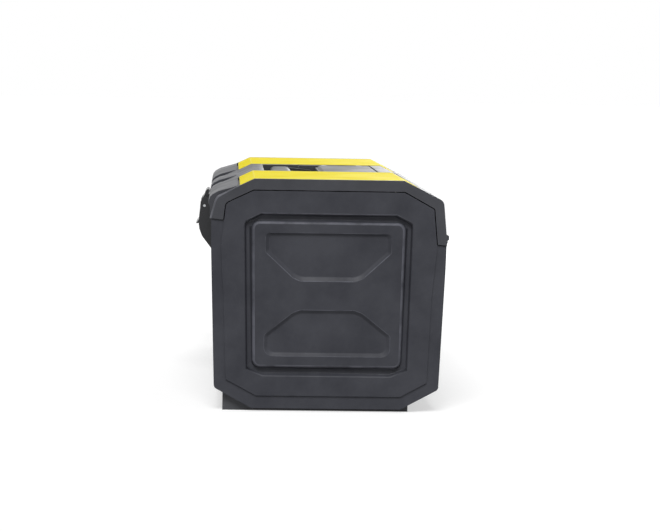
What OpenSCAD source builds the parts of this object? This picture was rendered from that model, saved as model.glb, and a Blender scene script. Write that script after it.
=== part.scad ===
/* [Box] */
// Length of the box over its two end faces
box_len = 710; // [600:5:800]
// How far the end faces stand outside the side walls' ends
end_step = 2; // [1:0.5:3]
// Thickness of the walls and floor of the tub
wall = 4; // [3:0.5:5]
// Depth of the solid rim round each end of the tub
end_rim = 12; // [11:0.5:16]
// Width of the lid over its front and back skirts
box_w = 294; // [280:1:310]
// Depth of the front seam below the top
seam_front = 50; // [48:0.5:52]
// Depth of the back seam below the top
seam_back = 80.4; // [78:0.5:84]
// Height of the closed box
box_h = 288.7; // [260:0.1:320]
// Height of the tub's floor underside above the ground
floor_z = 4; // [3:0.5:6]
// Width of the flat underside
floor_w = 185.2; // [150:5:200]
// Height of the top of the lower chamfer
low_chamfer = 29.2; // [25:1:40]
// Radius of the tub's lower corners
low_r = 6; // [3:0.5:9]
// Clearance round a seam between the lid and the tub
seam = 1.2; // [0.6:0.1:1.4]

/* [End relief] */
// Depth of the sunk ring in each end face
ring_depth = 7; // [3:0.5:8]
// Depth of the sunk ring's top edge below the top of the box
ring_drop = 43.4; // [40:0.2:48]
// Height of the sunk ring's bottom edge
ring_low = 45.2; // [40:1:50]
// Distance of the sunk ring from the box's front and back
ring_side = 43; // [40:0.5:50]
// Width of the groove between the ring's edge and the raised plate
ring_groove = 9.6; // [6:0.2:14]
// Corner radius of the sunk ring
ring_r = 6; // [2:0.5:8]
// Corner radius of the raised plate
plate_r = 9; // [4:1:12]
// Depth of the two sunk trapezoids in the raised plate
pocket_depth = 3.2; // [1:0.2:4]

/* [Front and back] */
// Depth of the shallow panels in the front and back walls
panel_depth = 1.6; // [0.8:0.2:2]
// Length of each shallow panel
panel_len = 236; // [180:2:250]
// Height of a shallow panel's lower edge
panel_low = 48; // [40:1:60]
// Distance of a panel's inner edge from the middle
panel_from = 76; // [60:2:90]

/* [Lid] */
// Thickness of the lid's shell
lid_wall = 4; // [3:0.5:4.5]
// Length of the lid's solid band at each end
band_len = 14; // [12.5:0.5:20]
// Radius of the lid's front and back corners
lid_r = 9; // [4:0.5:10]
// Corner radius of the opening in the lid's end bands
arch_r = 4; // [2:0.5:6]
// Width of each top chamfer, seen from above
top_chamfer = 54.5; // [52:0.5:58]
// Drop of each top chamfer
top_drop = 26; // [24:0.5:28]
// How far the lid's front corner is set back between its raised pads
corner_back = 5.5; // [3:0.5:7]
// Distance from the middle to each long pad on the lid's front corner
pad_from = 128; // [110:2:150]
// Half width of the middle pad, behind the latch
block_half = 48; // [44:1:60]
// How far the pads stand out in front of the lid's skirt
pad_out = 1.9; // [1:0.1:2.4]
// Depth of the middle deck below the top
deck_drop = 0.8; // [0.4:0.1:1.5]

/* [Top panels] */
// Thickness of the two coloured top panels
skin = 3.4; // [2:0.2:4]
// Width of the lid left bare in front of and behind a top panel
skin_bare = 35; // [31:0.5:40]
// Distance of a top panel's inner edge from the middle
skin_from = 120; // [116:1:140]
// Distance of a top panel's outer edge from the end face
skin_end = 6; // [4:0.5:8]
// Width of the slot in front of a top panel
panel_slot = 1.6; // [0.8:0.2:2]
// Gap round a panel or cover that is laid in its recess
lay = 0.4; // [0.3:0.1:0.8]

/* [Hinge] */
// Distance of the hinge axis inside the back of the box
hinge_in = 2; // [1.5:0.1:2.5]
// Height of the hinge axis above the tub's back edge
hinge_up = 4.2; // [3.8:0.1:4.6]
// Radius of the hinge knuckles
knuckle_r = 4.5; // [4:0.1:4.8]
// Radius of the hinge pins
hinge_pin_r = 2; // [1.5:0.1:2.5]
// Length of one knuckle
knuckle_len = 27; // [20:1:34]
// Distance of the outer hinges from the middle
hinge_x = 292; // [200:2:294]

/* [Handle] */
// Length of the handle over its arms
handle_len = 192; // [150:2:200]
// Width of each arm
arm_w = 16; // [12:1:20]
// Width of the grip bar from front to back
grip_w = 30; // [24:1:32]
// Thickness of the grip bar
grip_t = 20; // [14:1:22]
// Distance from the handle's pivot to the middle of the grip
handle_reach = 40; // [36:1:42]
// Distance of the handle's pivot in front of the middle
pivot_y = 12; // [12:0.5:16]
// Depth of the handle's pivot below the deck
pivot_down = 11.1; // [10:0.1:12]
// Radius of the eye at the end of each arm
eye_r = 8; // [6:0.5:8.5]
// Radius of the handle's pins
handle_pin_r = 3; // [2:0.5:4]
// Depth of the well under the handle
well_depth = 23; // [20:1:26]
// Clear width of the well in front of the grip
well_front = 10; // [6:1:12]

/* [Middle cover] */
// Rise of the middle cover above the deck
cover_rise = 2.4; // [1:0.2:3]
// Distance from the middle to the cover's back edge
cover_back = 75; // [70:1:84]
// Width of the slot behind the cover
cover_slot = 2; // [1:0.2:3]
// Radius of the cover's screws
screw_r = 2; // [1.5:0.1:2.2]

/* [Latch] */
// Width of the latch over the ears of its base
latch_w = 80; // [76:1:90]
// Thickness of the base's ears and of the lever's cheeks
ear_t = 4; // [3:0.5:5]
// Distance of the lever's pivot in front of the box
lever_out = 10; // [9.5:0.5:11]
// Depth of the lever's pivot below the tub's front edge
lever_down = 2.5; // [2:0.1:3]
// Distance from the lever's pivot down to the claw's pivot
toggle = 11; // [10:0.5:12]
// Radius of the latch's pins
latch_pin_r = 1.8; // [1.4:0.1:2]
// Rise of the claw's hook above the tub's front edge
hook_rise = 19.7; // [19:0.1:22]
// Depth of the lower end of the latch's base below the tub's front edge
base_drop = 64.7; // [60:0.5:75]

/* [Tray] */
// Length of the lift-out tray
tray_len = 600; // [400:5:660]
// Depth of the ledges that the tray stands on below the top of the box
ledge_drop = 110.7; // [108:0.5:140]
// How far the ledges stand in from the tub's walls
ledge_w = 14; // [10:1:20]
// Height of the tray's sides
tray_h = 44; // [30:1:46]
// Thickness of the tray's walls
tray_t = 2.5; // [1.5:0.5:3]
// Height of the tray's carrying handle above its sides
tray_grip = 16; // [12:1:18]
// Number of cross dividers in each half of the tray
divider_n = 3; // [1:1:6]

/* [Base] */
// Reach of the base to the front of the middle
base_front = 128.5; // [100:0.5:130]
// Reach of the base behind the middle
base_back = 102.5; // [96:0.5:110]
// How far the base's ends stand inside the end faces
base_inset = 12; // [8:1:30]
// Distance of the base's screws to the front and back of the middle
base_screw_y = 80; // [60:1:85]

/* [Hidden] */
$fn = 32;
// Seat gap between pieces that are fixed to each other
seat = 0.1;
// Radial clearance of a pin in its bore
run = 0.05;
// Side gap between parts that turn past each other
side = 0.5;
// How far a cut runs past the surface that it opens
over = 2;

end_x = box_len / 2;
side_x = end_x - end_step;
half_w = box_w / 2;
half_floor = floor_w / 2;
skin_reach = half_w - skin_bare;
ring_half = half_w - ring_side;
ring_top = box_h - ring_drop;
band_in = end_x - band_len;
rim_front = box_h - seam_front;
rim_back = box_h - seam_back;

// How far the tub's front and back lean in, from the lid's skirts down to the lower chamfer
draft = 7.6;
// Front and back of the tub, seen along the box: two corners of the lean and the top edge
front_wall = [[-half_w + draft, low_chamfer], [-half_w + 2.1, rim_front - 39.7], [-half_w + 1.6, rim_front]];
back_wall = [[half_w - draft, low_chamfer], [half_w - 1.4, rim_back - 28.3], [half_w - 0.7, rim_back]];
tub_outline = [[-half_floor, floor_z], [half_floor, floor_z], back_wall[0], back_wall[1], back_wall[2],
    front_wall[2], front_wall[1], front_wall[0]];

// Lid's outer outline, from the front edge round under the box and over the top
lid_front_z = rim_front + 0.6;
lid_back_z = rim_back + 0.9;
hinge_y = half_w - hinge_in;
hinge_z = rim_back + hinge_up;
lid_outline = [[-half_w, lid_front_z], [half_w - 0.4, lid_back_z], [half_w - 1.1, rim_back + 14.3],
    [half_w - 5.1, box_h - top_drop + 1.5], [half_w - top_chamfer, box_h], [-half_w + top_chamfer, box_h],
    [-half_w + 8.5, chamfer_top(8.5)], [-half_w + corner_back, box_h - top_drop - 2]];

// Height of the front top chamfer at a distance inside the front of the box
function chamfer_top(d) = box_h - top_drop * (1 - d / top_chamfer);

// Raised pads over the lid's front corner, seen along the box
pad_outline = [[-half_w, lid_front_z + 1.2], [-half_w + 3, lid_front_z + 1.2], [-half_w + 8, box_h - 28],
    [-skin_reach - 1, chamfer_top(skin_bare - 1) - 2], [-skin_reach - 1, chamfer_top(skin_bare - 1) + 0.5],
    [-half_w + 9.8, box_h - 16.5], [-half_w + 2.5, box_h - 20.7], [-half_w - pad_out + 1.5, box_h - 23.9],
    [-half_w - pad_out, box_h - 28.2], [-half_w - pad_out, box_h - 31.7], [-half_w, box_h - 36.2]];

// Opening of the lid's end bands, which the tub's ends rise into
arch = [[-half_w + 13, rim_back - 3], [half_w - 11.3, rim_back - 3], [half_w - 16, box_h - 34.1],
    [half_w - 53.6, box_h - 13.6], [-half_w + 53.6, box_h - 13.6], [-half_w + 19, box_h - 30.1]];

// Moves each edge of a convex outline inwards by its own distance
function shifted(p, t, i) = let(a = p[i], b = p[(i + 1) % len(p)], d = (b - a) / norm(b - a))
    [a + t * [-d.y, d.x], d];
function crossing(l, m) = let(c = l[1].x * m[1].y - l[1].y * m[1].x,
    w = m[0] - l[0], s = (w.x * m[1].y - w.y * m[1].x) / c) l[0] + s * l[1];
function inset(p, t) = let(n = len(p))
    [for (i = [0:n - 1]) crossing(shifted(p, t[(i + n - 1) % n], (i + n - 1) % n), shifted(p, t[i], i))];
function same(n, t) = [for (i = [0:n - 1]) t];

// Rounds each corner of an outline with a short arc, with one radius or one for each corner
function corner(a, b, c, r, k = 5) = let(u = (a - b) / norm(a - b), v = (c - b) / norm(c - b),
    h = acos(u * v) / 2, m = (u + v) / norm(u + v), o = b + m * r / sin(h),
    s = b + u * r / tan(h) - o, e = b + v * r / tan(h) - o,
    a0 = atan2(s.y, s.x), turn = atan2(s.x * e.y - s.y * e.x, s * e))
    [for (j = [0:k]) o + r * [cos(a0 + turn * j / k), sin(a0 + turn * j / k)]];
function rounded(p, r) = let(n = len(p)) [for (i = [0:n - 1]) let(q = is_list(r) ? r[i] : r)
    each (q > 0 ? corner(p[(i + n - 1) % n], p[i], p[(i + 1) % n], q) : [p[i]])];

// Place of a wall's outer face at a height
function wall_y(w, z) = z > w[1].y ? lookup_line(w[1], w[2], z) : lookup_line(w[0], w[1], z);
function lookup_line(a, b, z) = a.x + (b.x - a.x) * (z - a.y) / (b.y - a.y);

tub_inside = inset(tub_outline, [wall, wall, wall, wall, -40, wall, wall, wall]);
tub_end = inset(arch, same(len(arch), seam));
arch_radii = [for (i = [0:len(arch) - 1]) i == len(arch) - 1 ? 2 * arch_r : arch_r];
lid_inside = inset(lid_outline, [-60, lid_wall, lid_wall, lid_wall + skin, lid_wall + skin,
    lid_wall + skin, lid_wall, lid_wall]);
skin_low = box_h - 40;
deck_z = box_h - skin - lay / 2;

ring_outline = [[-ring_half + 11, ring_low], [ring_half - 11, ring_low], [ring_half - 4, ring_low + 8],
    [ring_half, ring_top - 10], [ring_half - 20, ring_top], [-ring_half + 20, ring_top],
    [-ring_half, ring_top - 10], [-ring_half + 4, ring_low + 8]];
plate_outline = [[-ring_half + ring_groove + 3, ring_low + ring_groove + 1],
    [ring_half - ring_groove - 3, ring_low + ring_groove + 1],
    [ring_half - ring_groove, ring_top - ring_groove], [-ring_half + ring_groove, ring_top - ring_groove]];
end_panel = [[-half_w + 60, floor_z + 16], [half_w - 55, floor_z + 16], [half_w - 22.4, floor_z + 34],
    [half_w - 18.6, 142], tub_end[1], [half_w - 13.2, tub_end[1].y + 1],
    [-half_w + 15, tub_end[0].y + 1], tub_end[0], [-half_w + 18.6, 138], [-half_w + 22.4, floor_z + 36]];
pocket_half = ring_half - 26.2;
upper_pocket = [[-39, ring_top - 82.5], [39, ring_top - 82.5], [pocket_half, ring_top - 46.8],
    [pocket_half, ring_top - 23], [-pocket_half, ring_top - 23], [-pocket_half, ring_top - 46.8]];
lower_pocket = [[-pocket_half, ring_low + 24.4], [pocket_half, ring_low + 24.4],
    [pocket_half, ring_low + 50.5], [38.4, ring_low + 81.8], [-38.4, ring_low + 81.8],
    [-pocket_half, ring_low + 50.5]];

// Handle, its well and the middle cover
pivot_z = deck_z - pivot_down;
grip_y = -pivot_y - handle_reach;
well_low = deck_z - well_depth;
well_y0 = grip_y - grip_w / 2 - well_front;
well_y1 = -pivot_y + eye_r + 2;
well_half = handle_len / 2 + 2;
wing_half = skin_from - 4;
cover_y0 = well_y1 + 3;
cover_screw_x = (well_half + wing_half) / 2;
// Depth that the cover's screws reach below the deck
screw_down = 10;

// Latch
cheek_half = latch_w / 2 - ear_t - side;
claw_half = cheek_half - ear_t - side;
lever_y = half_w + lever_out;
lever_z = rim_front - lever_down;
claw_y = lever_y;
claw_z = lever_z - toggle;
hook_in = half_w + 4;
hook_top = rim_front + hook_rise;
keeper_y = half_w + 3.6;
keeper_z = rim_front + 9.3;
keeper_seat = lid_wall + 1.5;
keeper_screw_x = 18;
base_y = half_w + 2;
base_low = rim_front - base_drop;
lip_z = base_low + 37.7;

// Height of the lower chamfer at a distance from the middle
function chamfer_z(y) = lookup_line([floor_z, half_floor], [low_chamfer, half_w - draft], y);
base_outline = [[-base_front, 0], [base_back, 0], [base_back, chamfer_z(base_back) - seat],
    [half_floor, floor_z - seat], [-half_floor, floor_z - seat], [-base_front, chamfer_z(base_front) - seat]];
base_x = end_x - base_inset;
// Distance of the outer base screws from the middle
base_screw_x = 270;

// Tray, which narrows by two millimetres on each side down to its floor
ledge_z = box_h - ledge_drop;
tray_low = ledge_z + seat;
// Room between the tray's top edge and the front or back of the box
tray_room = 15;
tray_half = half_w - tray_room;

// Stretches a shape drawn in the cross-section along the box
module along(x0, x1) {
    translate([x0, 0, 0]) rotate([90, 0, 90]) linear_extrude(x1 - x0) children();
}

// A round bar along the box
module bar(x0, x1, y, z, r) {
    translate([x0, y, z]) rotate([0, 90, 0]) cylinder(h = x1 - x0, r = r);
}

// Repeats a shape on both halves of the box
module both_ends() {
    children();
    mirror([1, 0, 0]) children();
}

module body() {
    color("#3a3b3f") difference() {
        union() {
            along(-side_x, side_x) polygon(rounded(tub_outline, [3, 3, low_r, 0, 0, 0, 0, low_r]));
            both_ends() along(side_x - end_rim, end_x)
                polygon(rounded(tub_end, [for (r = arch_radii) r - seam]));
            both_ends() along(side_x - 1, end_x) polygon(end_panel);
            for (x = [-hinge_x, 0, hinge_x], s = [-1, 1]) body_knuckle(x, s);
        }
        along(-side_x + end_rim, side_x - end_rim) polygon(tub_inside);
        both_ends() end_hollow();
        both_ends() end_relief();
        for (s = [-1, 1], w = [front_wall, back_wall]) wall_panel(s, w);
        for (x = [-hinge_x, 0, hinge_x]) {
            bar(x - knuckle_len / 2 - side, x + knuckle_len / 2 + side, hinge_y, hinge_z, knuckle_r + 0.6);
            bar(x - 2 * knuckle_len, x + 2 * knuckle_len, hinge_y, hinge_z, hinge_pin_r + run);
        }
        for (p = latch_screw_places()) screw_bore(p.x, p.y);
        for (x = [-base_screw_x, 0, base_screw_x], s = [-1, 1])
            translate([x, s * base_screw_y, 0]) cylinder(h = floor_z + wall + 1, r = screw_r + run);
    }
    color("#3a3b3f") for (m = [0, 1]) mirror([0, m, 0]) tray_ledge();
}

// The sunk ring, the plate left standing in it and the plate's two pockets
module end_relief() {
    along(end_x - ring_depth, end_x + over) difference() {
        polygon(rounded(ring_outline, ring_r));
        polygon(rounded(plate_outline, plate_r));
    }
    along(end_x - pocket_depth, end_x + over) {
        polygon(rounded(upper_pocket, 5));
        polygon(rounded(lower_pocket, 5));
    }
}

// Inside of an end wall, which follows the relief of its outer face
module end_hollow() {
    along(side_x - end_rim - over, end_x - ring_depth - wall + 0.5) polygon(inset(ring_outline, same(8, -4)));
    along(side_x - end_rim - over, end_x - pocket_depth - wall + 0.5)
        polygon(inset(plate_outline, same(4, 4)));
}

// A shallow panel sunk in the front or back wall
module wall_panel(s, w) {
    out = sign(w[0].x);
    x0 = s > 0 ? panel_from : -panel_from - panel_len;
    along(x0, x0 + panel_len) polygon([[w[1].x + out * over, panel_low],
        [wall_y(w, panel_low) - out * panel_depth, panel_low],
        [w[1].x - out * panel_depth, w[1].y], [w[1].x + out * over, w[1].y]]);
}

// One of the tub's two knuckles of a hinge
module body_knuckle(x, s) {
    x0 = s > 0 ? x + knuckle_len / 2 + side : x - 1.5 * knuckle_len - side;
    bar(x0, x0 + knuckle_len, hinge_y, hinge_z, knuckle_r);
    along(x0, x0 + knuckle_len) polygon([[hinge_y - 3, rim_back - 12],
        [wall_y(back_wall, rim_back - 12), rim_back - 12], [hinge_y + knuckle_r, hinge_z],
        [hinge_y - 3.4, hinge_z - 2.9]]);
}

// One of the two steps along the tub's front and back that the tray stands on
module tray_ledge() {
    y1 = -wall_y(back_wall, ledge_z) + wall / 2;
    y2 = y1 + wall / 2 + ledge_w;
    along(-side_x + end_rim / 2, side_x - end_rim / 2) polygon([[y2, ledge_z], [y1, ledge_z],
        [y1, ledge_z - ledge_w - 6], [y1 + wall / 2, ledge_z - ledge_w - 6], [y2, ledge_z - 6]]);
}

module base_skid() {
    color("#333438") difference() {
        along(-base_x, base_x) polygon(base_outline);
        for (x = [-base_screw_x, 0, base_screw_x], s = [-1, 1])
            translate([x, s * base_screw_y, 1]) cylinder(h = floor_z, r = screw_r + run);
    }
}

module base_screws() {
    color("#b9bcc0") for (x = [-base_screw_x, 0, base_screw_x], s = [-1, 1])
        translate([x, s * base_screw_y, 0]) {
            translate([0, 0, 1.4]) cylinder(h = floor_z + wall + 1, r = screw_r);
            translate([0, 0, floor_z + wall + seat]) cylinder(h = 2.4, r = 2 * screw_r);
        }
}

module lid() {
    color("#3f4044") difference() {
        union() {
            difference() {
                along(-end_x, end_x) polygon(rounded(lid_outline, [0, 0, 0, lid_r, 3, 3, lid_r, 0]));
                along(-band_in, band_in) polygon(lid_inside);
                both_ends() along(band_in - 1, end_x + over) polygon(rounded(arch, arch_radii));
            }
            well_pan();
            both_ends() along(pad_from, band_in + 3) polygon(pad_outline);
            along(-block_half, block_half) polygon(pad_outline);
            for (x = [-hinge_x, 0, hinge_x]) lid_knuckle(x);
            both_ends() back_lug(hinge_x + 1.5 * knuckle_len + 2, end_x - 3);
        }
        both_ends() top_recess(skin_from - lay, end_x - skin_end + lay, skin + lay / 2);
        top_recess(-skin_from, skin_from, deck_drop);
        along(-wing_half - lay, wing_half + lay) translate([-pivot_y - 14 - lay, deck_z])
            square([cover_back + pivot_y + 14 + lay + cover_slot, skin + over]);
        along(-wing_half - lay, wing_half + lay) translate([cover_back + lay, deck_z - lid_wall / 2])
            square([cover_slot - lay, lid_wall / 2 + over]);
        along(-well_half, well_half) polygon([[well_y0, well_low], [well_y1, well_low],
            [well_y1, box_h + over], [well_y0, box_h + over]]);
        for (x = [-hinge_x, 0, hinge_x], s = [-1, 1])
            bar(x + s * (knuckle_len + side) - knuckle_len / 2 - side,
                x + s * (knuckle_len + side) + knuckle_len / 2 + side, hinge_y, hinge_z, knuckle_r + 0.7);
        for (x = [-hinge_x, 0, hinge_x])
            bar(x - knuckle_len, x + knuckle_len, hinge_y, hinge_z, hinge_pin_r + run);
        both_ends() bar(well_half - over, wing_half - 2, -pivot_y, pivot_z, handle_pin_r + run);
        for (p = cover_screw_places())
            translate([p.x, p.y, deck_z - lid_wall - screw_down])
                cylinder(h = 3 * screw_down, r = screw_r + run);
        for (x = [-1, 1]) keeper_bore(x);
    }
}

// Sinks the lid's top and its two chamfers to a depth, between two places along the box
module top_recess(x0, x1, depth) {
    along(x0, x1) difference() {
        translate([-skin_reach - lay, skin_low])
            square([2 * (skin_reach + lay), box_h - skin_low + over]);
        polygon(inset(lid_outline, same(len(lid_outline), depth)));
    }
}

// Box round the handle's well and its pin bosses, under the deck
module well_pan() {
    t = lid_wall - 1;
    along(-wing_half, wing_half) polygon([[well_y0 - t, well_low - t], [well_y1 + t, well_low - t],
        [well_y1 + t, deck_z - 1], [well_y0 - t, deck_z - 1]]);
    both_ends() along(well_half, wing_half) polygon([[well_y1, deck_z - lid_wall - 8],
        [cover_back - 4, deck_z - lid_wall - 8], [cover_back - 4, deck_z - 1], [well_y1, deck_z - 1]]);
}

// The lid's knuckle of a hinge and the lug over it
module lid_knuckle(x) {
    bar(x - knuckle_len / 2, x + knuckle_len / 2, hinge_y, hinge_z, knuckle_r);
    back_lug(x - knuckle_len / 2, x + knuckle_len / 2);
}

// A lug on the lid's back, above the hinge axis so that it clears the tub as the lid opens
module back_lug(x0, x1) {
    along(x0, x1) polygon([[hinge_y - 2, hinge_z + 2], [hinge_y + 3, hinge_z + 2.7],
        [half_w + 2.3, hinge_z + 4], [half_w + 2.3, rim_back + 12.3], [half_w + 0.8, rim_back + 14],
        [half_w - 3, rim_back + 14]]);
}

// A coloured panel laid over the top, between the given places along the box
module top_panel(x0, x1) {
    along(x0, x1) intersection() {
        difference() {
            polygon(lid_outline);
            polygon(inset(lid_outline, same(len(lid_outline), skin)));
        }
        translate([-skin_reach + panel_slot, skin_low])
            square([2 * skin_reach - panel_slot, box_h - skin_low + over]);
    }
}

module right_top_panel() {
    color("#f4d21a") top_panel(skin_from, end_x - skin_end);
}

module left_top_panel() {
    color("#f4d21a") top_panel(-end_x + skin_end, -skin_from);
}

module hinge_pins() {
    color("#b9bcc0") for (x = [-hinge_x, 0, hinge_x])
        bar(x - 1.5 * knuckle_len - side, x + 1.5 * knuckle_len + side, hinge_y, hinge_z, hinge_pin_r);
}

function cover_screw_places() = [for (s = [-1, 1], y = [cover_y0 + 10, cover_back - 14])
    [s * cover_screw_x, y]];

module middle_cover() {
    color("#45464a") difference() {
        union() {
            along(-wing_half, wing_half) polygon([[cover_y0, deck_z + seat], [cover_back, deck_z + seat],
                [cover_back, deck_z + cover_rise], [cover_y0 + 3, deck_z + cover_rise]]);
            both_ends() along(well_half + 1, wing_half) polygon([[-pivot_y - 14, deck_z + seat],
                [cover_y0 + 6, deck_z + seat], [cover_y0 + 6, deck_z + cover_rise],
                [-pivot_y - 12, deck_z + cover_rise]]);
        }
        for (p = cover_screw_places()) translate([p.x, p.y, 0]) {
            cylinder(h = box_h + cover_rise, r = screw_r + run);
            translate([0, 0, deck_z + cover_rise - 1]) cylinder(h = over, r = 2 * screw_r + 0.2);
        }
    }
}

module cover_screws() {
    color("#b9bcc0") for (p = cover_screw_places()) translate([p.x, p.y, 0]) {
        translate([0, 0, deck_z - screw_down]) cylinder(h = screw_down + cover_rise, r = screw_r);
        translate([0, 0, deck_z + cover_rise - 1 + seat]) cylinder(h = 1.2, r = 2 * screw_r);
    }
}

module handle() {
    half = handle_len / 2;
    color("#3b3c40") difference() {
        union() {
            along(-half, half) translate([grip_y, pivot_z + 2])
                polygon(rounded([[-grip_w / 2, -grip_t / 2], [grip_w / 2, -grip_t / 2],
                    [grip_w / 2, grip_t / 2], [-grip_w / 2, grip_t / 2]], 8));
            both_ends() {
                bar(half - arm_w, half, -pivot_y, pivot_z, eye_r);
                along(half - arm_w, half) polygon([[grip_y, pivot_z - eye_r], [-pivot_y, pivot_z - eye_r],
                    [-pivot_y, pivot_z + eye_r], [grip_y, pivot_z + 2 + grip_t / 2]]);
            }
        }
        both_ends() bar(half - arm_w - over, half + over, -pivot_y, pivot_z, handle_pin_r + run);
    }
}

module handle_pins() {
    color("#b9bcc0") both_ends()
        bar(handle_len / 2 - arm_w, wing_half - 2.5, -pivot_y, pivot_z, handle_pin_r);
}

function latch_screw_places() = [for (s = [-1, 1], z = [base_low + 22, base_low + 50]) [s * 24, z]];

// Bore through the tub's front wall and into the latch's base
module screw_bore(x, z, depth = 5) {
    translate([x, wall_y(front_wall, z) + wall + 5, z]) rotate([90, 0, 0])
        cylinder(h = depth + wall + 5, r = screw_r + run);
}

module latch_base() {
    half = latch_w / 2;
    color("#222326") difference() {
        union() {
            along(-half, half) polygon([for (z = [base_low, front_wall[1].y, rim_front - 1.5])
                [wall_y(front_wall, z) - seat, z], each [[-base_y, rim_front - 1.5], [-base_y, base_low + 38],
                [-base_y - 15.3, base_low + 36], [-base_y - 14.4, base_low + 30],
                [-base_y - 11, base_low + 21]]]);
            both_ends() along(half - ear_t, half) polygon([for (p = [[8.8, 9.5], [8.8, -25],
                [-7.4, -26.2], [-7, -12.4], [-5.9, -2.7], [-5.3, 5.5], [-3.5, 9.8], [-1, 12],
                [6, 12]]) p + [-lever_y, lever_z]]);
        }
        for (p = latch_screw_places()) screw_bore(p.x, p.y);
        both_ends() bar(half - ear_t - over, half + over, -lever_y, lever_z, latch_pin_r + run);
    }
}

module latch_screws() {
    color("#b9bcc0") for (p = latch_screw_places()) {
        y_in = wall_y(front_wall, p.y) + wall + seat + 0.3;
        translate([p.x, y_in, p.y]) rotate([90, 0, 0]) cylinder(h = wall + 3, r = screw_r);
        translate([p.x, y_in + 2.4, p.y]) rotate([90, 0, 0]) cylinder(h = 2.4, r = 2 * screw_r);
    }
}

module latch_lever() {
    color("#1f2023") difference() {
        union() {
            both_ends() {
                bar(cheek_half - ear_t, cheek_half, -lever_y, lever_z, 5.6);
                along(cheek_half - ear_t, cheek_half) polygon([[-lever_y - 5.6, lever_z],
                    [-lever_y - 5.2, claw_z - 4], [-lever_y - 5.4, lip_z + 2.3],
                    [-lever_y + 4.5, lip_z + 1.7], [-lever_y + 5.6, lever_z]]);
            }
            along(-cheek_half, cheek_half) polygon([for (p = [[-5.2, 8.9], [-2.4, 8.9], [-2.4, 1.5],
                [-9.6, 0], [-11.2, 0], [-8, 4.3]]) p + [-lever_y, lip_z]]);
        }
        both_ends() bar(cheek_half - ear_t - over, cheek_half + over, -lever_y, lever_z, latch_pin_r + run);
        bar(-cheek_half - over, cheek_half + over, -claw_y, claw_z, latch_pin_r + run);
    }
}

module lever_pins() {
    color("#c8cacd") both_ends() bar(cheek_half - ear_t, latch_w / 2 + 0.6, -lever_y, lever_z, latch_pin_r);
}

module latch_claw() {
    color("#26272a") difference() {
        union() {
            bar(-claw_half, claw_half, -claw_y, claw_z, 3.6);
            along(-claw_half, claw_half) polygon([[-claw_y - 2.2, claw_z], [-claw_y + 3.5, claw_z],
                [-hook_in - 0.4, claw_z + 8], [-hook_in - 0.4, hook_top - 5], [-hook_in, hook_top - 5],
                [-hook_in, hook_top - 0.6], [-hook_in - 0.6, hook_top], [-hook_in - 2.6, hook_top - 0.4],
                [-hook_in - 4.6, hook_top - 2.4], [-hook_in - 5.6, hook_top - 5.4],
                [-claw_y - 0.4, hook_top - 8.4], [-claw_y - 3.4, hook_top - 12.4],
                [-claw_y - 3.6, claw_z + 12.8]]);
        }
        bar(-claw_half - over, claw_half + over, -claw_y, claw_z, latch_pin_r + run);
    }
}

module claw_pin() {
    color("#c8cacd") bar(-cheek_half, cheek_half, -claw_y, claw_z, latch_pin_r);
}

// Bore for a keeper screw and the flat seat of its head, from the lid's inside
module keeper_bore(s) {
    translate([s * keeper_screw_x, -half_w + keeper_seat, keeper_z]) rotate([90, 0, 0]) {
        translate([0, 0, -10]) cylinder(h = 10 + keeper_seat + 2.6, r = screw_r + run);
        translate([0, 0, -10]) cylinder(h = 10, r = 2 * screw_r + 0.3);
    }
}

module lid_keeper() {
    color("#2a2b2e") difference() {
        along(-claw_half + 1, claw_half - 1) polygon([[-half_w - seat, keeper_z - 5],
            [-half_w - seat, box_h - 36.2], [-half_w - pad_out - seat, box_h - 31.6],
            [-keeper_y, box_h - 32.6], [-keeper_y, keeper_z - 1], [-half_w - 2, keeper_z - 5]]);
        for (s = [-1, 1]) keeper_bore(s);
    }
}

module keeper_screws() {
    color("#b9bcc0") for (s = [-1, 1])
        translate([s * keeper_screw_x, -half_w + keeper_seat + seat, keeper_z])
        rotate([90, 0, 0]) {
            cylinder(h = keeper_seat + 1.6, r = screw_r);
            translate([0, 0, -2.4]) cylinder(h = 2.4, r = 2 * screw_r);
        }
}

module lift_out_tray() {
    half = tray_len / 2;
    color("#6c6e72") difference() {
        union() {
            along(-half, half) polygon([[-tray_half + 2, tray_low], [tray_half - 2, tray_low],
                [tray_half, tray_low + tray_h], [-tray_half, tray_low + tray_h]]);
            along(-70, 70) polygon([[-2, tray_low + tray_t], [2, tray_low + tray_t],
                [2, tray_low + tray_h + tray_grip], [-2, tray_low + tray_h + tray_grip]]);
        }
        for (m = [0, 1]) mirror([0, m, 0]) along(-half + tray_t, half - tray_t)
            polygon([[2, tray_low + tray_t], [tray_half - 2 - tray_t, tray_low + tray_t],
                [tray_half - tray_t, tray_low + tray_h + over], [2, tray_low + tray_h + over]]);
        along(-half + tray_t, -70) translate([-3, tray_low + tray_h - 8]) square([6, 20]);
        along(70, half - tray_t) translate([-3, tray_low + tray_h - 8]) square([6, 20]);
        translate([-45, -10, tray_low + tray_h - 14]) cube([90, 20, 22]);
    }
}

module tray_dividers() {
    step = (tray_len - 2 * tray_t) / (divider_n + 1);
    color("#85878b") for (i = [1:divider_n], m = [0, 1]) mirror([0, m, 0])
        translate([-tray_len / 2 + tray_t + i * step - 1, 0, 0]) along(0, 2)
            polygon([[2 + seat, tray_low + tray_t + seat],
                [tray_half - 2 - tray_t - 0.2, tray_low + tray_t + seat],
                [tray_half - tray_t - 0.6, tray_low + tray_h - 5], [2 + seat, tray_low + tray_h - 5]]);
}

body();
base_skid();
base_screws();
lid();
left_top_panel();
right_top_panel();
hinge_pins();
middle_cover();
cover_screws();
handle();
handle_pins();
latch_base();
latch_screws();
latch_lever();
lever_pins();
latch_claw();
claw_pin();
lid_keeper();
keeper_screws();
lift_out_tray();
tray_dividers();
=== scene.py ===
import math

import bmesh
import bpy
from mathutils import Matrix, Vector


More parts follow.
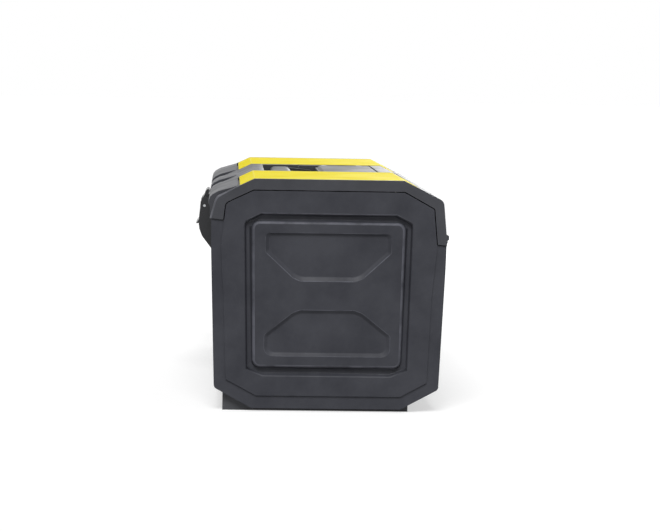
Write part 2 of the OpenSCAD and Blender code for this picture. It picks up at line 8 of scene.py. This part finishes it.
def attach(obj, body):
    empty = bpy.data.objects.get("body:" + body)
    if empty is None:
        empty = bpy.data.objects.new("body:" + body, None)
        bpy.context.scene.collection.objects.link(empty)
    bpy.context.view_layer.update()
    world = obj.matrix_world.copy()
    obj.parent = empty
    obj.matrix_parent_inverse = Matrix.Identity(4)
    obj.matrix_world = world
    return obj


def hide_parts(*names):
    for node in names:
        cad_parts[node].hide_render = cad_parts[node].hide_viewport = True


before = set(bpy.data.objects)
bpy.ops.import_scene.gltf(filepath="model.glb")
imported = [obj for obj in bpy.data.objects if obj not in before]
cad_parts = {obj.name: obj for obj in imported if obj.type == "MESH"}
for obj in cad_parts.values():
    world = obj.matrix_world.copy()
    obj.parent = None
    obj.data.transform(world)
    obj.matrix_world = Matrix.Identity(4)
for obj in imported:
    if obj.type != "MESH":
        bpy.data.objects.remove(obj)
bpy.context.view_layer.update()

# Tub: one deep injection moulding in black polypropylene, closed by two tall eight-sided ends. A sunk ring and two
# sunk pockets stiffen each end, ledges for the tray run along both sides, and hinge knuckles stand on the back edge.
# Its walls slope and its edges are rounded so that it leaves the mould.


def merged_copy(name):
    """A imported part's mesh with its doubled corners merged and each flat face made one face."""
    bm = bmesh.new()
    bm.from_mesh(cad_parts[name].data)
    bmesh.ops.remove_doubles(bm, verts=bm.verts, dist=1e-5)
    bmesh.ops.dissolve_limit(bm, angle_limit=math.radians(0.5), verts=bm.verts, edges=bm.edges)
    bm.loops.layers.float.new("rubbed_edge")
    return bm


# In mm: where the two end faces lie, how deep the ring and the pockets are sunk, and the ring's outer sides.
end_x = 355
ring_depth = 7
pocket_depth = 3.2
ring_half, ring_low, ring_top = 104, 45.2, 245.3
# Half the width, the foot and the top of the area that holds each form of an end face and nothing further out.
pocket_area = (82, 66, 226)
plate_area = (95.5, 54, 237)
inside_ring_mouth = (97, 52, 239)
ring_area = (108, 41, 249)
face_inside_outline = (112, 38, 252)


def on_plane(a, b, x, slack=0.06):
    """Both places in mm lie as far out as x, at one end or the other."""
    return abs(abs(a.x) - x) < slack and abs(abs(b.x) - x) < slack


def within(a, b, half_y, low, high):
    """Both places in mm lie inside an area of an end face."""
    return max(abs(a.y), abs(b.y)) < half_y and min(a.z, b.z) > low and max(a.z, b.z) < high


def ring_floor(corner):
    """The mesh corner lies on the sunk floor of a ring."""
    at = corner.co * 1000
    return on_plane(at, at, end_x - ring_depth) and within(at, at, *ring_area)


tub = merged_copy("body")
# Each ring's floor is parted straight across at its top and bottom, and all its slanting cuts are taken out.
floor_faces = [f for f in tub.faces if all(ring_floor(v) for v in f.verts)]
floor_parts = dict.fromkeys(part for f in floor_faces for part in (f, *f.edges, *f.verts))
bmesh.ops.bisect_plane(tub, geom=list(floor_parts), plane_co=(0, 0, 0), plane_no=(0, 1, 0), dist=1e-6)
slanting = [e for e in tub.edges if len(e.link_faces) == 2 and max(abs(v.co.y) for v in e.verts) > 1e-5
            and all(ring_floor(v) for f in e.link_faces for v in f.verts)]
bmesh.ops.dissolve_edges(tub, edges=slanting)

# The mould's slopes in mm. Each corner of a pocket's floor, between two heights, draws in from the mouth sideways
# and upwards. The ring's floor narrows from both sides, less so where the ring turns.
pocket_draw = ((69, 80, 4.2, 3.6), (90, 101, 4.2, -1.7), (120, 128, 1.0, -4.2),
               (162, 171, 0.6, 5.2), (193, 204, 4.2, 1.9), (214, 223, 4.2, -2.6))
ring_draw_y, ring_draw_z, share_at_turns = 3.5, 2.4, 0.4
ring_turns_y, ring_turns_low, ring_turns_high, ring_middle_z = 70, 66, 228, 145
for v in tub.verts:
    at = v.co * 1000
    if on_plane(at, at, end_x - pocket_depth) and within(at, at, *pocket_area):
        for low, high, sideways, upwards in pocket_draw:
            if low < at.z < high:
                v.co.y -= math.copysign(sideways, at.y) / 1000
                v.co.z += upwards / 1000
    if ring_floor(v):
        outwards = 1 if within(at, at, *plate_area) else -1
        turns = abs(at.y) > ring_turns_y and not ring_turns_low < at.z < ring_turns_high
        share = share_at_turns if turns else 1
        v.co.y += math.copysign(ring_draw_y, at.y) * outwards * share / 1000
        v.co.z += math.copysign(ring_draw_z, at.z - ring_middle_z) * outwards * share / 1000


def gather(bm, depth, y, z, reach, new_y, new_z, slack=0.1):
    """Draws each end's corners that lie near a place on one of its planes together at another place there."""
    for end in (-1, 1):
        for side in (-1, 1):
            x = end * (end_x - depth)
            near = [v for v in bm.verts if abs(v.co.x * 1000 - x) < slack
                    and math.dist((v.co.y * 1000, v.co.z * 1000), (side * y, z)) < reach]
            bmesh.ops.pointmerge(bm, verts=near, merge_co=Vector((x, side * new_y, new_z)) / 1000)


def round_edges(bm, radius_mm, wanted, segments=3, least_turn=25, raised=False, rubbed=True):
    """Rounds the edges, or only the raised ones, that turn by more than some degrees and pass the test in mm.

    Hands rub the raised ones, so their new faces are marked for the material.
    """
    edges = [e for e in bm.edges if e.is_manifold and e.calc_face_angle() > math.radians(least_turn)
             and (e.is_convex or not raised) and wanted(e.verts[0].co * 1000, e.verts[1].co * 1000)]
    made = bmesh.ops.bevel(bm, geom=edges, offset=radius_mm / 1000, offset_type="OFFSET", segments=segments,
                           profile=0.5, affect="EDGES", clamp_overlap=True, material=-1)
    edge_layer = bm.loops.layers.float["rubbed_edge"]
    nearly_flat = 0.05
    for face in made["faces"] if rubbed else ():
        if all(e.is_convex or e.calc_face_angle(0) < nearly_flat for e in face.edges):
            for corner in face.loops:
                corner[edge_layer] = 1


# The pockets' inner and lowest corners turn in long curves. Each row is a corner's distance from the middle and its
# height at the mouth, and how far its floor draws in and up. The edges to round run inwards, from mouth to floor.
curved_corners = ((39, ring_top - 82.5, 0.6, 5.2), (38.4, ring_low + 81.8, 1.0, -4.2), (77.8, 69.6, 4.2, 3.6))
curve_radius, curve_segments, curve_least_turn, old_curve_reach = 8, 6, 8, 6
inner_corners_y, lowest_corners_z, least_run_inwards = 39.1, 74, 2
for y, z, inwards, upwards in curved_corners:
    gather(tub, 0, y, z, old_curve_reach, y, z)
    gather(tub, pocket_depth, y - inwards, z + upwards, old_curve_reach, y - inwards, z + upwards)
round_edges(tub, curve_radius, lambda a, b: abs(a.x - b.x) > least_run_inwards and within(a, b, *pocket_area)
            and (max(abs(a.y), abs(b.y)) < inner_corners_y or max(a.z, b.z) < lowest_corners_z),
            segments=curve_segments, least_turn=curve_least_turn, rubbed=False)

# The ring's lower corners are cut off from 8 mm up to 25 mm in, at its mouth and at its floor. Each row is a depth,
# the middle and the reach of one end of the corner's old curve, and the place it is drawn to.
ring_cuts = ((0, ring_half - 4, ring_low + 8, 4.6, ring_half - 4, ring_low + 8),
             (0, ring_half - 11, ring_low, 5.4, ring_half - 25, ring_low),
             (ring_depth, ring_half - 5.4, ring_low + 9, 4.6, ring_half - 5.4, ring_low + 9),
             (ring_depth, ring_half - 12.4, ring_low + 1, 5.4, ring_half - 25.3, ring_low + 1.4))
for cut in ring_cuts:
    gather(tub, *cut)

# Radii in mm, from the pockets out to the tub's long edges. The pockets' walls slope, so their edges turn little.
pocket_mouth_radius, pocket_floor_radius = 0.7, 1.0
plate_radius, ring_mouth_radius, ring_floor_radius = 2.6, 2.2, 1.4
outline_radius, long_edge_radius, long_edge_least_length, long_edges_beyond_y = 1.2, 1.2, 20, 100
round_edges(tub, pocket_mouth_radius, lambda a, b: on_plane(a, b, end_x) and within(a, b, *pocket_area),
            segments=2, least_turn=12)
round_edges(tub, pocket_floor_radius, lambda a, b: on_plane(a, b, end_x - pocket_depth)
            and within(a, b, *pocket_area), segments=2, least_turn=12)
round_edges(tub, plate_radius, lambda a, b: on_plane(a, b, end_x) and within(a, b, *plate_area)
            and not within(a, b, *pocket_area))
round_edges(tub, ring_mouth_radius, lambda a, b: on_plane(a, b, end_x) and within(a, b, *ring_area)
            and not within(a, b, *inside_ring_mouth))
round_edges(tub, ring_floor_radius, lambda a, b: on_plane(a, b, end_x - ring_depth) and within(a, b, *ring_area))
round_edges(tub, outline_radius, lambda a, b: on_plane(a, b, end_x) and not within(a, b, *face_inside_outline))
round_edges(tub, long_edge_radius, lambda a, b: abs(a.x - b.x) > long_edge_least_length
            and min(abs(a.y), abs(b.y)) > long_edges_beyond_y)


def linear(hex_colour):
    """An sRGB hex colour as the linear RGBA that the shaders take."""
    parts = [int(hex_colour[i:i + 2], 16) / 255 for i in (0, 2, 4)]
    return [c / 12.92 if c <= 0.04045 else ((c + 0.055) / 1.055) ** 2.4 for c in parts] + [1]


def node(tree, kind, links=(), **settings):
    """Adds a node to a tree; links are (input, node, output), settings are the node's properties or its inputs."""
    new = tree.nodes.new(kind)
    for name, value in settings.items():
        if hasattr(new, name):
            setattr(new, name, value)
        else:
            new.inputs[name.replace("_", " ")].default_value = value
    for socket, source, output in links:
        tree.links.new(source.outputs[output], new.inputs[socket])
    return new


# Nearly all of a noise's values lie between these two.
noise_low, noise_high = 0.35, 0.65


def moulded_plastic(name, colour, paler_colour, rubbed_colour, smoothest, roughest, grain_mm, depth_mm,
                    specular=0.3, ior=1.49):
    """Moulded plastic with the mould's fine grain, uneven from handling and rubbed pale along its edges.

    Tone and roughness drift together in patches some 60 mm wide, paler where the surface is smoother. The rubbing
    comes and goes every 20 mm or so. The grain of a spark-eroded mould is about 0.2 mm, too fine to show, so it is
    drawn as coarse as the render needs.
    """
    material = bpy.data.materials.new(name)
    material.use_nodes = True
    tree = material.node_tree
    shader = tree.nodes["Principled BSDF"]
    shader.inputs["IOR"].default_value = ior
    shader.inputs["Specular IOR Level"].default_value = specular
    place = node(tree, "ShaderNodeTexCoord")
    drift = node(tree, "ShaderNodeTexNoise", [("Vector", place, "Object")],
                 Scale=1 / 0.06, Detail=9.0, Roughness=0.62)
    tone = node(tree, "ShaderNodeValToRGB", [("Fac", drift, "Fac")])
    tone.color_ramp.elements[0].position, tone.color_ramp.elements[1].position = noise_low, noise_high
    tone.color_ramp.elements[0].color, tone.color_ramp.elements[1].color = linear(colour), linear(paler_colour)
    roughness = node(tree, "ShaderNodeMapRange", [("Value", drift, "Fac")],
                     From_Min=noise_low, From_Max=noise_high, To_Min=roughest, To_Max=smoothest)
    grain = node(tree, "ShaderNodeTexNoise", [("Vector", place, "Object")], Scale=1000 / grain_mm, Detail=2.0)
    bump = node(tree, "ShaderNodeBump", [("Height", grain, "Fac")], Distance=depth_mm / 1000)
    edge = node(tree, "ShaderNodeAttribute", attribute_name="rubbed_edge")
    rubbing = node(tree, "ShaderNodeTexNoise", [("Vector", place, "Object")], Scale=1 / 0.02, Detail=6.0)
    patches = node(tree, "ShaderNodeMapRange", [("Value", rubbing, "Fac"), ("To Max", edge, "Fac")],
                   From_Min=0.3, From_Max=0.6)
    rubbed = node(tree, "ShaderNodeMixRGB", [("Fac", patches, "Result"), ("Color1", tone, "Color")],
                  Color2=linear(rubbed_colour))
    tree.links.new(rubbed.outputs["Color"], shader.inputs["Base Color"])
    tree.links.new(roughness.outputs["Result"], shader.inputs["Roughness"])
    tree.links.new(bump.outputs["Normal"], shader.inputs["Normal"])
    return material


def piece(name, bm, material, body, replaced):
    """Makes the mesh an object, smooth but for sharp turns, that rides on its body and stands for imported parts."""
    mesh = bpy.data.meshes.new(name)
    bm.to_mesh(mesh)
    bm.free()
    mesh.materials.append(material)
    mesh.shade_smooth()
    mesh.set_sharp_from_angle(angle=math.radians(40))
    obj = bpy.data.objects.new(name, mesh)
    bpy.context.scene.collection.objects.link(obj)
    even = obj.modifiers.new("even_faces", "WEIGHTED_NORMAL")
    even.keep_sharp = True
    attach(obj, body)
    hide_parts(*replaced)


# Polypropylene from a grained mould is near-black with a cool cast, satin and a little cloudy, and greys where its
# edges are rubbed. The grain is drawn at 1.2 mm.
tub_plastic = moulded_plastic("moulded_black_polypropylene", "34353b", "404147", "585961",
                              smoothest=0.44, roughest=0.58, grain_mm=1.2, depth_mm=0.02, specular=0.2)
piece("tub_moulding", tub, tub_plastic, "tub", ["body"])

# Base: the flat block that the box stands on, a polypropylene moulding of its own. Six screws driven down through the
# tub's floor hold it, and it shows as a step under the tub's lower chamfers.

# The same grained polypropylene, scuffed matt, since it is the part that slides over floors. Its grey is painted
# lighter than the tub's, a painted light that lifts the shade the tub casts over it.
base_plastic_painted_lighter = moulded_plastic("moulded_base_polypropylene_painted_lighter", "424347", "4a4b4f", "5e5f64",
                               smoothest=0.45, roughest=0.55, grain_mm=1.2, depth_mm=0.02)
base = merged_copy("base_skid")
base_radius = 1.2
round_edges(base, base_radius, lambda a, b: True)
piece("base_block", base, base_plastic_painted_lighter, "tub", ["base_skid"])

# Lid: a polypropylene shell that follows the tub's eight-sided ends, with a thick band over each of them and raised
# pads along its front. It swings on three hinges at the back, and carries the panels, the cover and the handle.

# The lid's grained polypropylene is a little glossier than the tub's, from the hands that wipe over it.
lid_plastic = moulded_plastic("moulded_lid_polypropylene", "36373c", "424348", "5e5f66",
                              smoothest=0.40, roughest=0.52, grain_mm=1.2, depth_mm=0.02)
lid = merged_copy("lid")
# In mm: how far from the middle the front pads end, and what their fronts lie before and above.
pad_ends, pads_before_y, pads_above_z, pad_radius = (48, 128, 344), -112, 241, 1.2
round_edges(lid, pad_radius, lambda a, b: any(on_plane(a, b, x) for x in pad_ends)
            and max(a.y, b.y) < pads_before_y and min(a.z, b.z) > pads_above_z, raised=True)
# The ends' front edges are rounder than the rest, and the lowest ones stay sharp where lid and tub meet.
front_before_y, seam_z, front_radius, end_radius = -135, 240, 2.2, 1.0
round_edges(lid, front_radius, lambda a, b: on_plane(a, b, end_x) and max(a.y, b.y) < front_before_y
            and max(a.z, b.z) > seam_z)
round_edges(lid, end_radius, lambda a, b: on_plane(a, b, end_x) and max(a.z, b.z) > seam_z)
piece("lid_moulding", lid, lid_plastic, "lid", ["lid"])

# Top panels: two yellow plates that lie over the lid's top and its chamfers, one towards each end. Each is a thin
# moulding in coloured ABS that follows the lid's faces, and clips into a recess from above.

# ABS coloured right through, from a finely grained mould, is a clear even lemon yellow with hardly a highlight, and
# is rubbed paler along its bends. The grain is drawn at 2 mm, where it shows as a slight unevenness.
panel_plastic = moulded_plastic("moulded_yellow_abs", "eedb00", "f2e106", "f4e468", smoothest=0.50, roughest=0.62,
                                grain_mm=2.0, depth_mm=0.01, specular=0.04, ior=1.54)
panel_radius = 0.7
for name in ("right_top_panel", "left_top_panel"):
    panel = merged_copy(name)
    round_edges(panel, panel_radius, lambda a, b: True)
    piece(name + "_skin", panel, panel_plastic, "lid", [name])

# Middle cover and handle: the cover is a raised plate in the lid's own plastic, screwed down between the panels. The
# handle is a moulded bar on two arms. It folds flat into the slot in front of the cover, on two pins in its walls.
cover = merged_copy("middle_cover")
cover_face_z, cover_radius = 287, 0.5
round_edges(cover, cover_radius, lambda a, b: min(a.z, b.z) > cover_face_z)
piece("deck_cover", cover, lid_plastic, "lid", ["middle_cover"])

# The handle's grained polypropylene is blacker than the lid's, and smoother from the hands that carry it.
handle_plastic = moulded_plastic("moulded_handle_polypropylene", "26272b", "2d2e32", "4a4b50",
                                 smoothest=0.38, roughest=0.48, grain_mm=1.0, depth_mm=0.02)
handle = merged_copy("handle")
handle_radius, handle_shortest_edge = 1.2, 6
round_edges(handle, handle_radius, lambda a, b: (a - b).length > handle_shortest_edge)
piece("carry_handle", handle, handle_plastic, "handle", ["handle"])

# Latch: a draw latch of four small nylon mouldings in the middle of the front. The foot is screwed to the tub, the
# paddle turns in the foot, and the hook hangs on the paddle and draws down the catch that is screwed to the lid.

# Nylon from a nearly polished mould is the deepest black on the box and its glossiest plastic. What grain it has is
# drawn at 1 mm, and half as deep as the others'.
latch_plastic = moulded_plastic("moulded_latch_nylon", "151618", "1b1c1f", "303136", smoothest=0.26, roughest=0.38,
                                grain_mm=1.0, depth_mm=0.01, specular=0.5, ior=1.53)
latch_radius, latch_shortest_edge = 0.6, 4
for name, packed, body in (("latch_foot", "latch_base", "tub"), ("latch_paddle", "latch_lever", "lever"),
                           ("latch_hook", "latch_claw", "claw"), ("latch_catch", "lid_keeper", "lid")):
    latch_part = merged_copy(packed)
    round_edges(latch_part, latch_radius, lambda a, b: (a - b).length > latch_shortest_edge)
    piece(name, latch_part, latch_plastic, body, [packed])

# Tray: a shallow grey polypropylene moulding that stands on the ledges in the tub. The wall along its middle rises
# into a grip to lift it out by, and three paler strips set across each half part it into cells.

# Both are polypropylene from grained moulds, satin and softly clouded like the tub, the dividers a shade lighter.
tray_plastic = moulded_plastic("moulded_tray_polypropylene", "67696d", "707276", "888a8e",
                               smoothest=0.40, roughest=0.50, grain_mm=1.2, depth_mm=0.02)
divider_plastic = moulded_plastic("moulded_divider_polypropylene", "808286", "888a8e", "9c9ea2",
                                  smoothest=0.40, roughest=0.50, grain_mm=1.2, depth_mm=0.02)
tray_radius, divider_radius = 0.8, 0.5
tray = merged_copy("lift_out_tray")
round_edges(tray, tray_radius, lambda a, b: True)
piece("tool_tray", tray, tray_plastic, "tray", ["lift_out_tray"])
dividers = merged_copy("tray_dividers")
round_edges(dividers, divider_radius, lambda a, b: True)
piece("cell_dividers", dividers, divider_plastic, "tray", ["tray_dividers"])

# Pins and screws: pins cut from drawn steel rod carry the hinges, the handle and the latch. Screws with cold-formed
# heads hold the cover from above, and the base, the latch's foot and its catch from inside. All are zinc-plated.

# Zinc plated on steel is a bright, slightly bluish metal, whose thin coat varies in tone and gloss every 1.5 mm.
zinc_steel = bpy.data.materials.new("zinc_plated_steel")
zinc_steel.use_nodes = True
tree = zinc_steel.node_tree
shader = tree.nodes["Principled BSDF"]
shader.inputs["Metallic"].default_value = 1
place = node(tree, "ShaderNodeTexCoord")
mottle = node(tree, "ShaderNodeTexNoise", [("Vector", place, "Object")], Scale=1 / 0.0015, Detail=4.0)
coat = node(tree, "ShaderNodeValToRGB", [("Fac", mottle, "Fac")])
coat.color_ramp.elements[0].position, coat.color_ramp.elements[1].position = noise_low, noise_high
coat.color_ramp.elements[0].color, coat.color_ramp.elements[1].color = linear("b9bcc1"), linear("cdcfd0")
shine = node(tree, "ShaderNodeMapRange", [("Value", mottle, "Fac")],
             From_Min=noise_low, From_Max=noise_high, To_Min=0.40, To_Max=0.26)
tree.links.new(coat.outputs["Color"], shader.inputs["Base Color"])
tree.links.new(shine.outputs["Result"], shader.inputs["Roughness"])

# In mm: the rounding of a head's rim, the rim's width, the hexagonal socket's reach to its corners and its depth.
head_rounding, rim_width, socket_reach, socket_depth = 0.5, 1.8, 1.6, 1.8
slack = 0.1
for name, packed, body, head_top in (("cover_screw_set", "cover_screws", "lid", 287.8),
                                     ("base_screw_set", "base_screws", "tub", 10.5)):
    screws = merged_copy(packed)
    round_edges(screws, head_rounding, lambda a, b: min(a.z, b.z) > head_top - slack)
    for top in [f for f in screws.faces if f.normal.z > 0.99 and f.calc_center_median().z * 1000 > head_top - slack]:
        centre = top.calc_center_median()
        bmesh.ops.inset_region(screws, faces=[top], thickness=rim_width / 1000, use_even_offset=True)
        # The round face inside the rim is drawn in to a hexagon, and then sunk.
        for v in top.verts:
            angle = math.atan2(v.co.y - centre.y, v.co.x - centre.x)
            reach = (socket_reach / 1000 * math.cos(math.pi / 6)
                     / math.cos(angle % (math.pi / 3) - math.pi / 6))
            v.co.x, v.co.y = centre.x + reach * math.cos(angle), centre.y + reach * math.sin(angle)
        bmesh.ops.inset_region(screws, faces=[top], thickness=0.00002, depth=-socket_depth / 1000)
    piece(name, screws, zinc_steel, body, [packed])
for name in ("hinge_pins", "handle_pins", "latch_screws", "lever_pins", "claw_pin", "keeper_screws"):
    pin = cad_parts[name]
    pin.data.materials.clear()
    pin.data.materials.append(zinc_steel)

# Studio: a broad soft light stands high on the camera's side, over a pale floor, and a soft box lights the top from
# behind the far end. The camera and the reflections see floor and background as white, and the shadow stays.
floor_mesh = bmesh.new()
bmesh.ops.create_grid(floor_mesh, x_segments=1, y_segments=1, size=30)
floor = bpy.data.objects.new("floor", bpy.data.meshes.new("floor"))
floor_mesh.to_mesh(floor.data)
floor_mesh.free()


def seen_ray(tree):
    """Is one for the rays that the eye, a reflection or a clear part looks along, and nought for light."""
    rays = node(tree, "ShaderNodeLightPath")
    seen = node(tree, "ShaderNodeMath", [(0, rays, "Is Camera Ray"), (1, rays, "Is Glossy Ray")],
                operation="MAXIMUM")
    return node(tree, "ShaderNodeMath", [(0, seen, 0), (1, rays, "Is Transmission Ray")], operation="MAXIMUM")


# Matt paint on the floor. Its glow makes up what the paint lacks to white, and only where it is looked at.
pale_floor = bpy.data.materials.new("painted_pale_floor")
pale_floor.use_nodes = True
tree = pale_floor.node_tree
paint = tree.nodes["Principled BSDF"]
paint.inputs["Base Color"].default_value = linear("bdbdbd")
paint.inputs["Roughness"].default_value = 0.9
paint.inputs["Specular IOR Level"].default_value = 0.1
lack = node(tree, "ShaderNodeMath", [(0, seen_ray(tree), 0)], operation="MULTIPLY")
lack.inputs[1].default_value = 0.56
glow = node(tree, "ShaderNodeEmission", [("Strength", lack, 0)])
both = node(tree, "ShaderNodeAddShader", [(0, paint, "BSDF"), (1, glow, "Emission")])
tree.links.new(both.outputs[0], tree.nodes["Material Output"].inputs["Surface"])
floor.data.materials.append(pale_floor)
bpy.context.scene.collection.objects.link(floor)

# The room gives a low even light, and looks white.
world = bpy.data.worlds.new("soft_studio")
world.use_nodes = True
bpy.context.scene.world = world
tree = world.node_tree
even_light = tree.nodes["Background"]
even_light.inputs["Color"].default_value = linear("ffffff")
even_light.inputs["Strength"].default_value = 0.22
white = node(tree, "ShaderNodeBackground", Color=linear("ffffff"), Strength=1)
choice = node(tree, "ShaderNodeMixShader", [(0, seen_ray(tree), 0), (1, even_light, 0), (2, white, 0)])
tree.links.new(choice.outputs[0], tree.nodes["World Output"].inputs["Surface"])

overhead = bpy.data.lights.new("broad_overhead", "SUN")
overhead.energy = 2.75
overhead.angle = math.radians(30)
overhead_object = bpy.data.objects.new("broad_overhead", overhead)
towards_overhead = Vector((0.62, -0.08, 0.78))
overhead_object.rotation_euler = towards_overhead.to_track_quat("Z", "Y").to_euler()
bpy.context.scene.collection.objects.link(overhead_object)

behind = bpy.data.lights.new("soft_box_behind", "AREA")
behind.size = 1.2
behind.energy = 15
behind_object = bpy.data.objects.new("soft_box_behind", behind)
behind_object.location = (-2.6, 0.8, 0.75)
rear_of_lid = Vector((0, 0.08, 0.27))
behind_object.rotation_euler = (behind_object.location - rear_of_lid).to_track_quat("Z", "Y").to_euler()
bpy.context.scene.collection.objects.link(behind_object)

# The camera stands where a fit to the photograph's outline puts it, and looks along the box from its right end.
camera = bpy.data.objects.new("camera", bpy.data.cameras.new("camera"))
camera.data.sensor_width = 36
camera.data.lens = 126.92
camera_place = (3.2159, -0.12357, 0.4213)
pan, tilt, roll = -2.515, -4.761, 0.997
along_x = Matrix(((0, 0, 1), (1, 0, 0), (0, 1, 0)))
turn = (Matrix.Rotation(math.radians(pan), 3, "Z") @ along_x
        @ Matrix.Rotation(math.radians(tilt), 3, "X") @ Matrix.Rotation(math.radians(roll), 3, "Z"))
camera.matrix_world = Matrix.Translation(camera_place) @ turn.to_4x4()
bpy.context.scene.collection.objects.link(camera)
bpy.context.scene.camera = camera
bpy.context.scene.view_settings.view_transform = "Standard"
